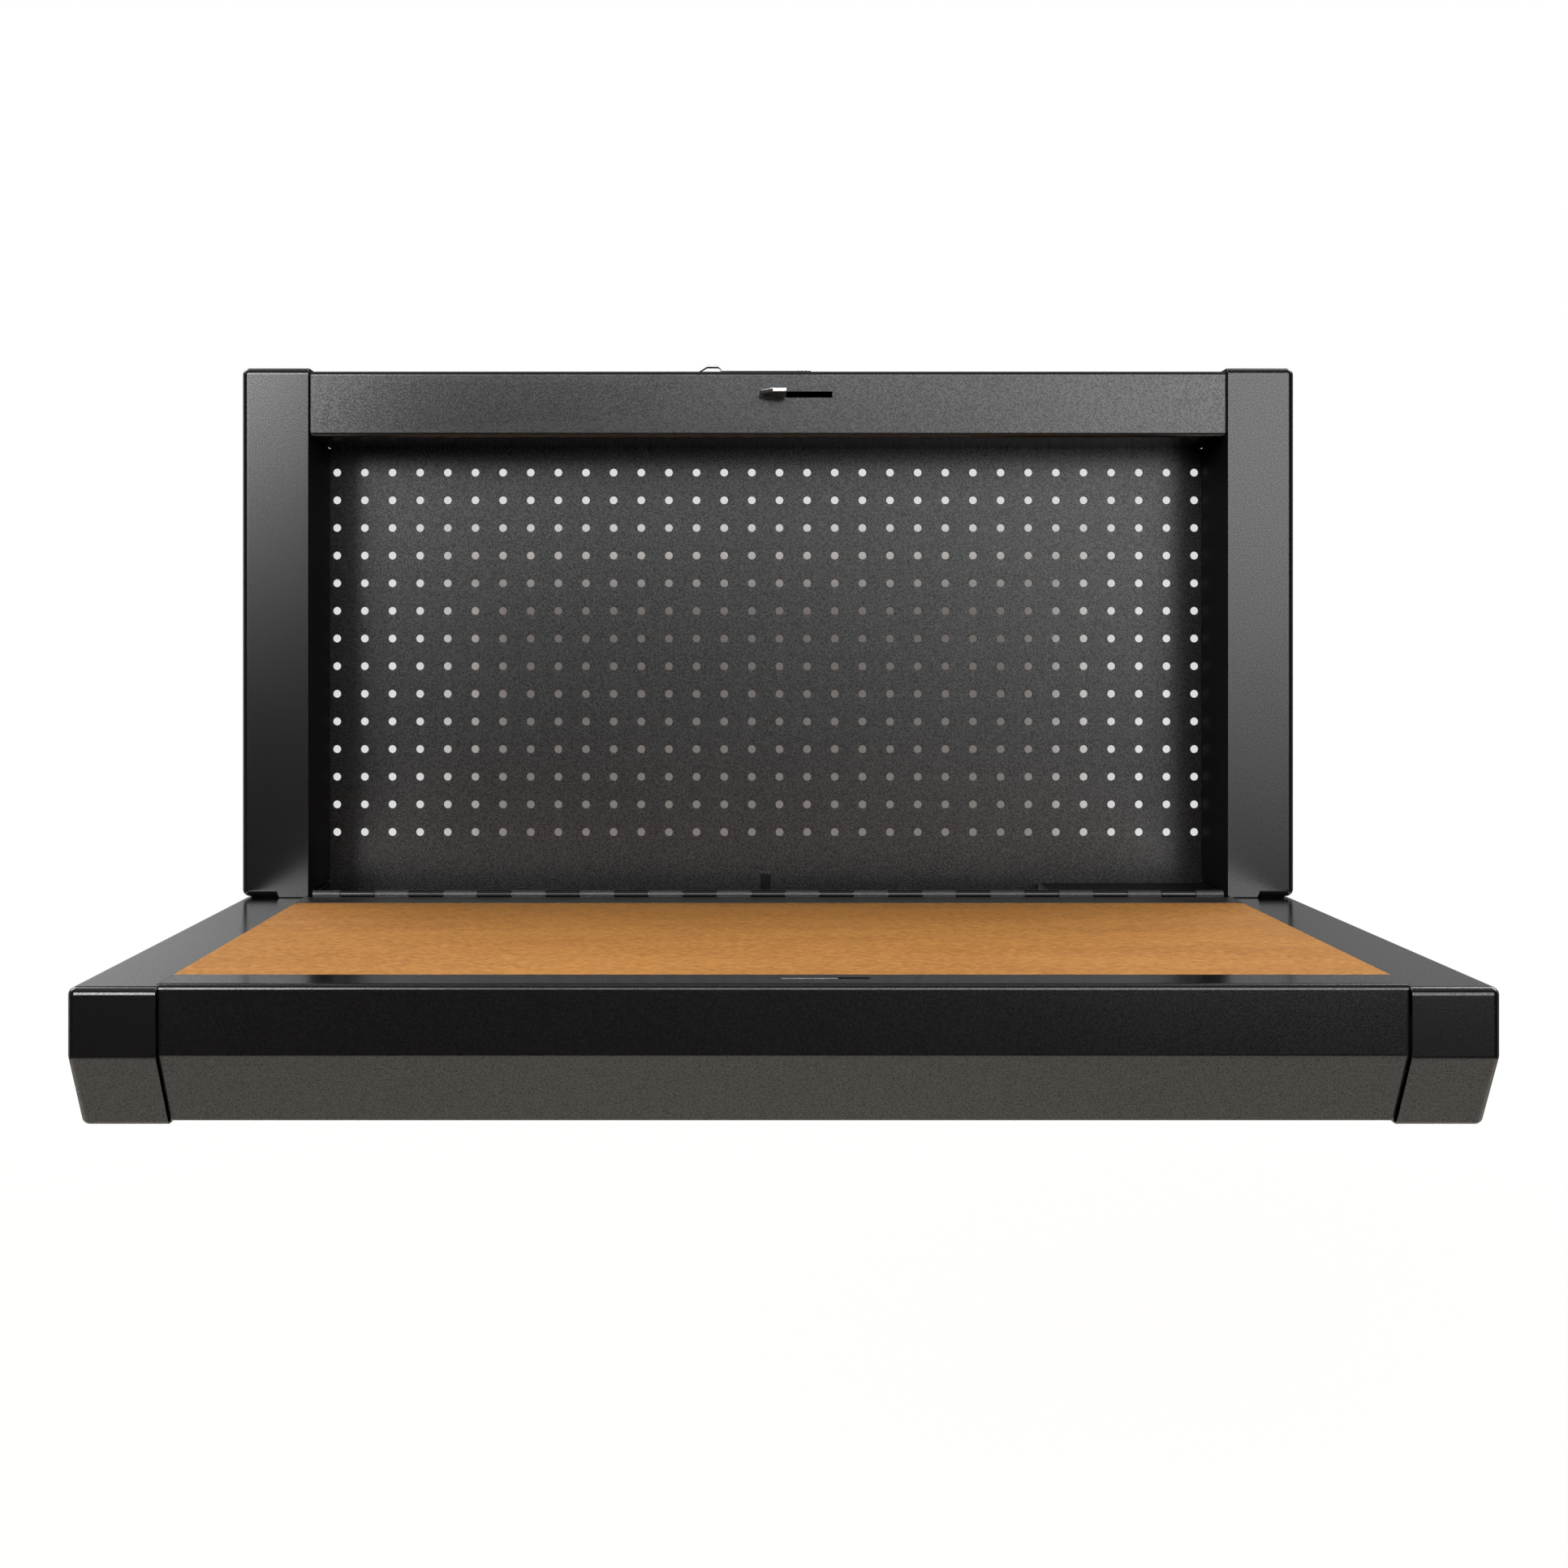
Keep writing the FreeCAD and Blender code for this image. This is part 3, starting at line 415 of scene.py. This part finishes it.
for node in nodes.values():
    for entry in node.material_slots:
        entry.material = finishes[entry.material.name.split(".")[0]]
print("finishes done")


# Making pieces

def makePlain(piece):  # the modifiers' result becomes the piece's own mesh
    bpy.context.view_layer.update()
    made = piece.evaluated_get(bpy.context.evaluated_depsgraph_get())
    mesh = bpy.data.meshes.new_from_object(made)
    piece.modifiers.clear()
    piece.data = mesh


def tidyMesh(piece, degrees=30, flatten=0, reach=1e-6):  # flatten: faces within this angle become one
    mesh = piece.data
    shape = bmesh.new()
    shape.from_mesh(mesh)
    bmesh.ops.remove_doubles(shape, verts=shape.verts, dist=reach)
    if flatten:
        bmesh.ops.dissolve_limit(shape, angle_limit=math.radians(flatten), verts=shape.verts, edges=shape.edges)
    bmesh.ops.recalc_face_normals(shape, faces=shape.faces)
    for face in shape.faces:
        face.smooth = True
    for edge in shape.edges:
        edge.smooth = len(edge.link_faces) == 2 and edge.calc_face_angle(0) < math.radians(degrees)
    shape.to_mesh(mesh)
    shape.free()
    for attribute in [a for a in mesh.attributes if a.name == "custom_normal"]:
        mesh.attributes.remove(attribute)


def evenNormals(piece):  # flat faces stay flat beside small rounds
    even = piece.modifiers.new("evenNormals", "WEIGHTED_NORMAL")
    even.keep_sharp = True
    makePlain(piece)


def easeEdges(piece, width, steps=2, degrees=38):
    bevel = piece.modifiers.new("easedEdges", "BEVEL")
    bevel.width = width
    bevel.segments = steps
    bevel.limit_method = "ANGLE"
    bevel.angle_limit = math.radians(degrees)
    bevel.use_clamp_overlap = False
    evenNormals(piece)


def settle(piece, body, slotName, replaced, finish=None):
    piece.data.materials.clear()
    piece.data.materials.append(finish or finishes[slotName])
    for face in piece.data.polygons:
        face.material_index = 0
    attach(piece, body)
    if replaced:
        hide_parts(*replaced)


def recoat(piece, label, chosen):  # some faces take another finish
    piece.data.materials.append(variants[label])
    for face in piece.data.polygons:
        if chosen(face):
            face.material_index = len(piece.data.materials) - 1


def newTree(name, sizes):
    tree = bpy.data.node_groups.new(name, "GeometryNodeTree")
    tree.interface.new_socket("Geometry", in_out="INPUT", socket_type="NodeSocketGeometry")
    tree.interface.new_socket("Geometry", in_out="OUTPUT", socket_type="NodeSocketGeometry")
    for label, value in sizes.items():
        kind = "NodeSocketInt" if isinstance(value, int) else "NodeSocketFloat"
        tree.interface.new_socket(label, in_out="INPUT", socket_type=kind)
    source = tree.nodes.new("NodeGroupInput")
    return tree, {socket.name: Wire(tree, socket) for socket in source.outputs if socket.name}


def endTree(tree, shape, finish, weld=2e-6):
    shape = shape.node("GeometryNodeRealizeInstances", inputs={0: shape})
    shape = shape.node("GeometryNodeMergeByDistance", inputs={"Geometry": shape, "Distance": weld})
    shape = shape.node("GeometryNodeSetMaterial", inputs={"Geometry": shape, "Material": finish})
    shape.node("NodeGroupOutput", inputs={0: shape})


def runTree(piece, tree, sizes):
    modifier = piece.modifiers.new("build", "NODES")
    modifier.node_group = tree
    for item in tree.interface.items_tree:
        if item.in_out == "INPUT" and item.name in sizes:
            modifier[item.identifier] = sizes[item.name]
    makePlain(piece)


def joined(*shapes):
    return shapes[0].node("GeometryNodeJoinGeometry", inputs={0: list(reversed(shapes))})


def moved(shape, place=(0, 0, 0), turn=(0, 0, 0)):
    return shape.node("GeometryNodeTransform", inputs={"Geometry": shape, "Translation": place, "Rotation": turn})


def turned(start, outline, sides):  # a shape of revolution about Z, as a stack of cones from point to point
    rings = []
    for (radius, level), (nextRadius, nextLevel) in zip(outline, outline[1:]):
        ring = start.node("GeometryNodeMeshCone", {"fill_type": "NONE"},
                          {"Vertices": sides, "Radius Bottom": radius, "Radius Top": nextRadius,
                           "Depth": nextLevel - level})
        rings.append(moved(ring, start.vector(0, 0, level)))
    return joined(*rings)


# Perforated panel: outline and holes filled, then given their walls

panel = {
    "holeRadius": 3.6 * mm,
    "pitch": 25.4 * mm,
    "columns": 32,
    "rows": 14,
    "sheet": 1.5 * mm,
    "rolledEdge": 0.35 * mm,  # the punch's round at each hole's front
    "holeSides": 16,
}
panelPlace = {"front": -18.5, "lowRow": -132.0, "wide": 416.25, "narrow": 398.5, "bottom": -195.0, "earTop": -179.25,
              "low": -176.0, "high": 220.15, "top": 274.4}  # millimetres


def makePanel(sizes, place):
    wide, narrow = place["wide"], place["narrow"]
    half = [(wide, place["bottom"]), (wide, place["earTop"]), (narrow, place["earTop"]), (narrow, place["low"]),
            (wide, place["low"]), (wide, place["high"]), (narrow, place["high"]), (narrow, place["top"])]
    outline = half + [(-x, z) for x, z in reversed(half)]
    points = [(x * mm, z * mm, 0) for x, z in outline]
    edges = [(index, (index + 1) % len(points)) for index in range(len(points))]
    piece = newObject("perforatedPanel", points, edges)
    tree, given = newTree("perforations", sizes)
    names = ("Geometry", "holeRadius", "pitch", "sheet", "rolledEdge")
    edge, radius, pitch, sheet, rolled = (given[label] for label in names)
    acrossLength = (given["columns"] - 1) * pitch
    upLength = (given["rows"] - 1) * pitch
    grid = edge.node("GeometryNodeMeshGrid", inputs={"Size X": acrossLength, "Size Y": upLength,
                                                     "Vertices X": given["columns"], "Vertices Y": given["rows"]})
    grid = moved(grid, edge.vector(0, upLength / 2 + place["lowRow"] * mm, 0))

    def onGrid(shape):
        placed = edge.node("GeometryNodeInstanceOnPoints", inputs={"Points": grid, "Instance": shape})
        return edge.node("GeometryNodeRealizeInstances", inputs={0: placed})

    def filled(holeRadius):
        circle = edge.node("GeometryNodeCurvePrimitiveCircle", inputs={"Resolution": given["holeSides"],
                                                                       "Radius": holeRadius})
        rim = edge.node("GeometryNodeMeshToCurve", inputs={"Mesh": edge})
        return edge.node("GeometryNodeFillCurve", inputs={"Curve": joined(rim, onGrid(circle))})

    front = moved(filled(radius + rolled), edge.vector(0, 0, sheet))
    rear = filled(radius)
    sides = edge.node("GeometryNodeExtrudeMesh", {"mode": "EDGES"},
                      {"Mesh": edge, "Offset": edge.vector(0, 0, sheet), "Offset Scale": 1.0})
    halfway = rolled * 0.3  # how far the round has come at its middle
    wall = [(radius, 0), (radius, sheet - rolled), (radius + halfway, sheet - halfway), (radius + rolled, sheet)]
    walls = onGrid(turned(edge, wall, given["holeSides"]))
    shape = joined(front, rear, sides, walls)
    shape = moved(shape, (0, place["front"] * mm + sizes["sheet"], 0), (math.pi / 2, 0, 0))
    endTree(tree, shape, variants["panel"])
    runTree(piece, tree, sizes)
    tidyMesh(piece, degrees=50)
    evenNormals(piece)
    settle(piece, "wall_frame", "powder_coat", ["peg_panel"], variants["panel"])


makePanel(panel, panelPlace)
print("perforated panel done")


# Piano hinge: two leaves with knuckles by turns

hinge = {
    "barrelRadius": 3.4 * mm,
    "boreRadius": 1.95 * mm,
    "pitch": 29.65 * mm,
    "gap": 0.4 * mm,
    "leafSheet": 1.4 * mm,
}
hingePlace = {"y": -120.0, "z": -176.6, "half": 395.0, "tongue": 0.4, "eased": 0.3, "paleRoom": 0.1,  # millimetres
              "whole": 25, "rimSides": 32, "boreSides": 16}
leaves = {  # towards: side of the axis where its strip lies; first: 1 for the leaf with the odd knuckles
    "fixedLeaf": {"towards": 1, "from": -116.2, "to": -90.0, "half": 395.0, "first": 1, "body": "wall_frame",
                  "slot": "gloss_black", "node": "hinge_fixed_leaf"},
    "movingLeaf": {"towards": -1, "from": -123.8, "to": -161.5, "half": 401.4, "first": 0, "body": "bench",
                   "slot": "powder_coat", "node": "hinge_moving_leaf", "finish": "leaf"},
}


def knuckleOutline(sizes, place, towards):  # rolled tube with the tongue of its leaf, in the YZ plane
    radius, sheet = sizes["barrelRadius"], sizes["leafSheet"]
    reach = radius + place["tongue"] * mm
    start = math.asin((sheet - radius) / radius)
    points = []
    for step in range(place["rimSides"] + 1):
        angle = start + (1.5 * math.pi - start) * step / place["rimSides"]
        points.append((math.cos(angle) * radius, math.sin(angle) * radius))
    points += [(reach, -radius), (reach, sheet - radius)]
    rim = len(points)
    for step in range(place["boreSides"]):
        angle = 2 * math.pi * step / place["boreSides"]
        points.append((math.cos(angle) * sizes["boreRadius"], math.sin(angle) * sizes["boreRadius"]))
    edges = [(index, (index + 1) % rim) for index in range(rim)]
    bore = place["boreSides"]
    edges += [(rim + index, rim + (index + 1) % bore) for index in range(bore)]
    return [(y * towards, z, 0) for y, z in points], edges


def makeLeaf(name, leaf, sizes, place):
    points, edges = knuckleOutline(sizes, place, leaf["towards"])
    piece = newObject(name, points, edges)
    whole = place["whole"]
    endLength = place["half"] * mm - whole / 2 * sizes["pitch"]
    sizes = {**sizes, "count": whole // 2 + 1 if leaf["first"] else whole // 2, "endLength": endLength}
    tree, given = newTree(name + "Knuckles", sizes)
    edge, pitch, gap = given["Geometry"], given["pitch"], given["gap"]
    rim = edge.node("GeometryNodeMeshToCurve", inputs={"Mesh": edge})
    face = edge.node("GeometryNodeFillCurve", inputs={"Curve": rim})

    def knuckle(length):
        sides = edge.node("GeometryNodeExtrudeMesh", {"mode": "EDGES"},
                          {"Mesh": edge, "Offset": edge.vector(0, 0, length), "Offset Scale": 1.0})
        return joined(face, moved(face, edge.vector(0, 0, length)), sides)

    rowStart = (given["count"] - 1) * pitch * -1 + gap / 2 - pitch / 2
    row = edge.node("GeometryNodeMeshLine", {"mode": "OFFSET"},
                    {"Count": given["count"], "Start Location": edge.vector(0, 0, rowStart),
                     "Offset": edge.vector(0, 0, pitch * 2)})
    shapes = [edge.node("GeometryNodeInstanceOnPoints", inputs={"Points": row, "Instance": knuckle(pitch - gap)})]
    if not leaf["first"]:
        for start in (place["half"] * -mm, place["half"] * mm - endLength):
            shapes.append(moved(knuckle(given["endLength"] - gap), edge.vector(0, 0, gap / 2 + start)))
    shape = moved(joined(*shapes), (0, place["y"] * mm, place["z"] * mm), (math.pi / 2, 0, math.pi / 2))
    width = abs(leaf["to"] - leaf["from"]) * mm
    strip = edge.node("GeometryNodeMeshCube",
                      inputs={"Size": edge.vector(2 * leaf["half"] * mm, width, given["leafSheet"])})
    level = place["z"] * mm - sizes["barrelRadius"] + sizes["leafSheet"] / 2
    strip = moved(strip, (0, (leaf["from"] + leaf["to"]) / 2 * mm, level))
    endTree(tree, joined(shape, strip), finishes[leaf["slot"]])
    runTree(piece, tree, sizes)
    tidyMesh(piece)
    easeEdges(piece, place["eased"] * mm)
    settle(piece, leaf["body"], leaf["slot"], [leaf["node"]], variants.get(leaf.get("finish")))
    if "finish" in leaf:  # painted light: its knuckles take a paler copy of the coat than its strip
        axis = Vector((0, place["y"], place["z"])) * mm
        reach = sizes["barrelRadius"] + place["paleRoom"] * mm
        recoat(piece, "knuckle", lambda face: (face.center.yz - axis.yz).length < reach)


for leafName, leafValues in leaves.items():
    makeLeaf(leafName, leafValues, hinge, hingePlace)
print("hinge done")


# Hinge rivets, with domed heads

rivets = {
    "count": 12,
    "headRadius": 3.0 * mm,
    "headHeight": 1.0 * mm,
    "shankRadius": 1.6 * mm,
    "grip": 3.4 * mm,  # leaf and rail together
}
rivetPlace = {"y": -101.0, "low": -182.0, "half": 365.35, "weld": 0.08,  # millimetres
              "rim": 0.25, "tip": 0.02,  # shares of the head's height and radius
              "sides": 20, "domeSteps": 5}


def makeRivets(sizes, place):
    piece = newObject("hingeRivetHeads", [(0, 0, 0)])
    tree, given = newTree("rivetRow", sizes)
    names = ("Geometry", "headRadius", "headHeight", "shankRadius", "grip")
    edge, radius, height, shank, grip = (given[label] for label in names)
    dome = []
    for step in range(place["domeSteps"] + 1):
        angle = math.radians(90 * step / place["domeSteps"])
        level = place["rim"] + (1 - place["rim"]) * math.sin(angle)
        dome.append((radius * max(math.cos(angle), place["tip"]), level))
    upper = [(r, grip + height * level) for r, level in dome]
    lower = [(r, height * -level) for r, level in reversed(dome)]
    outline = lower + [(radius, 0), (shank, 0), (shank, grip), (radius, grip)] + upper
    start = (-place["half"] * mm, place["y"] * mm, place["low"] * mm)
    apart = 2 * place["half"] * mm / (sizes["count"] - 1)
    row = edge.node("GeometryNodeMeshLine", {"mode": "OFFSET"},
                    {"Count": given["count"], "Start Location": start, "Offset": (apart, 0, 0)})
    rivet = turned(edge, outline, place["sides"])
    shape = edge.node("GeometryNodeInstanceOnPoints", inputs={"Points": row, "Instance": rivet})
    endTree(tree, shape, finishes["zinc_steel"])
    runTree(piece, tree, sizes)
    tidyMesh(piece, degrees=45, reach=place["weld"] * mm)
    settle(piece, "wall_frame", "zinc_steel", ["hinge_rivets"])


makeRivets(rivets, rivetPlace)
print("rivets done")


# Latch spring: closed coils at both ends

spring = {
    "coilRadius": 4.8 * mm,
    "wireRadius": 0.6 * mm,
    "turns": 10.0,
    "length": 43.4 * mm,
}
springPlace = {"left": 18.7, "right": 63.3, "y": -93.0, "z": 245.4, "travel": 24.0,  # millimetres
               "closed": 0.1,  # share of its turns that is closed at each end
               "turnSides": 24, "wireSides": 10}


def makeSpring(sizes, place):
    piece = newObject("latchSpringCoil", [(0, 0, 0)])
    tree, given = newTree("coil", sizes)
    names = ("Geometry", "coilRadius", "wireRadius", "turns", "length")
    edge, radius, wire, turns, length = (given[label] for label in names)
    spiral = edge.node("GeometryNodeCurveSpiral", inputs={
        "Resolution": place["turnSides"], "Rotations": turns, "Start Radius": radius, "End Radius": radius,
        "Height": 0.0})
    share = edge.node("GeometryNodeSplineParameter", out="Factor")
    closed = place["closed"]

    def ramp(low, high):
        return edge.node("ShaderNodeMapRange", {"clamp": True}, {"Value": share, "From Min": low, "From Max": high})

    ends = (ramp(0, closed) + ramp(1 - closed, 1)) * wire * 2
    rise = ends + ramp(closed, 1 - closed) * (length - wire * 4)
    spiral = edge.node("GeometryNodeSetPosition", inputs={"Geometry": spiral, "Offset": edge.vector(0, 0, rise)})
    circle = edge.node("GeometryNodeCurvePrimitiveCircle", inputs={"Resolution": place["wireSides"], "Radius": wire})
    shape = edge.node("GeometryNodeCurveToMesh", inputs={"Curve": spiral, "Profile Curve": circle, "Fill Caps": True})
    start = place["left"] * mm + sizes["wireRadius"]
    shape = moved(shape, (start, place["y"] * mm, place["z"] * mm), (0, math.pi / 2, 0))
    endTree(tree, shape, finishes["zinc_steel"])
    runTree(piece, tree, sizes)
    tidyMesh(piece, degrees=60)
    settle(piece, "wall_frame", "zinc_steel", ["latch_spring"])
    length = place["right"] - place["left"]
    (length - place["travel"]) / length
    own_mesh(piece)


makeSpring(spring, springPlace)
print("spring done")


# Sheet steel with eased edges, from the frame's own shapes

easedPieces = {  # node, body, width of the eased edges in millimetres, and finish where it isn't the slot's
    "leftPost": ("left_post", "wall_frame", 0.5),
    "rightPost": ("right_post", "wall_frame", 0.5),
    "headerBox": ("header_beam", "wall_frame", 0.3),
    # the recess finish in these rows is painted shade
    "leftRecessWall": ("left_recess_wall", "wall_frame", 0.3, "recess"),
    "rightRecessWall": ("right_recess_wall", "wall_frame", 0.3, "recess"),
    "clipAtPanelFoot": ("panel_clip", "wall_frame", 0.25),
    "floorStrip": ("floor_plate", "wall_frame", 0.3, "recess"),
    "leftSideRail": ("left_side_rail", "bench", 0.3),
    "rightSideRail": ("right_side_rail", "bench", 0.3),
    "beam": ("front_beam", "bench", 0.3),
    "benchApron": ("rear_apron", "bench", 0.3),
    "strikePlate": ("keeper_plate", "bench", 0.25),
    "hook": ("latch_hook", "latch", 0.4),
    "pushPlate": ("release_plate", "latch", 0.3),
    "fingerLoop": ("pull_loop", "latch", 0.3),
}

recoatLimits = {  # which faces take another finish, by place in metres and by share of their normal
    "recessHalf": 0.4003,
    "footTop": -0.17,
    "blockFront": -0.105,
    "straight": 0.9,
    "slanted": 0.2,
    "rising": 0.3,
    "flat": 0.95,
}


def makeEased(name, nodeName, body, width, label=None):
    source = nodes[nodeName]
    slotName = {look.name: key for key, look in finishes.items()}[source.material_slots[0].material.name]
    piece = bpy.data.objects.new(name, source.data.copy())
    scene.collection.objects.link(piece)
    tidyMesh(piece, flatten=0.4)
    easeEdges(piece, width * mm)
    settle(piece, body, slotName, [nodeName], variants.get(label))
    return piece


def recoatFaces(name, piece, limits):
    half, straight, slanted = limits["recessHalf"], limits["straight"], limits["slanted"]
    if name.endswith("Post"):  # painted shade on the returns beside the recess and on the ledge at the foot, a painted highlight along the returns' rear edges
        recoat(piece, "recess", lambda face: abs(face.normal.x) > straight and abs(face.center.x) < half)
        recoat(piece, "knuckle", lambda face: slanted < face.normal.y < straight and abs(face.center.x) < half)
        recoat(piece, "recess", lambda face: face.normal.z > limits["rising"] and face.center.z < limits["footTop"])
    if name == "hook":  # painted shade: the sliding block's front inside the header takes the dark leaf coat instead of zinc
        recoat(piece, "leaf", lambda face: face.normal.y < -straight and face.center.y > limits["blockFront"])
    if name == "floorStrip":  # painted highlights: the bends and ends take the paler knuckle coat, the rest keeps the recess's painted shade
        recoat(piece, "knuckle", lambda face: abs(face.normal.z) < limits["flat"])


for pieceName, values in easedPieces.items():
    recoatFaces(pieceName, makeEased(pieceName, *values), recoatLimits)
print("eased pieces done")


# Grip ridges across the push plate's right end

ridges = {
    "count": 3,
    "pitch": 3.2 * mm,
    "radius": 0.8 * mm,
    "length": 18.0 * mm,
}
ridgePlace = {"left": 26.8, "weld": 0.04,  # millimetres
              "tip": 0.02,  # share of the radius
              "sides": 12, "crown": 3}


def makeRidges(sizes, place):
    low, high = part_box("release_plate")
    piece = newObject("gripRidges", [(0, 0, 0)])
    tree, given = newTree("ridgeRow", sizes)
    edge, radius = given["Geometry"], given["radius"]
    start = (place["left"] * mm, (low[1] + high[1]) / 2, high[2])
    row = edge.node("GeometryNodeMeshLine", {"mode": "OFFSET"},
                    {"Count": given["count"], "Start Location": start, "Offset": edge.vector(given["pitch"], 0, 0)})
    outline = []
    for step in range(place["crown"] + 1):  # rounded ends
        angle = math.pi / 2 * step / place["crown"]
        outline.append((radius * max(math.sin(angle), place["tip"]), radius * (1 - math.cos(angle))))
    outline += [(r, given["length"] - z) for r, z in reversed(outline)]
    bar = moved(turned(edge, outline, place["sides"]), edge.vector(0, 0, given["length"] * -0.5))
    bar = moved(bar, turn=(math.pi / 2, 0, 0))
    shape = edge.node("GeometryNodeInstanceOnPoints", inputs={"Points": row, "Instance": bar})
    endTree(tree, shape, finishes["gloss_black"])
    runTree(piece, tree, sizes)
    tidyMesh(piece, degrees=45, reach=place["weld"] * mm)
    settle(piece, "latch", "gloss_black", None)


makeRidges(ridges, ridgePlace)
print("grip ridges done")
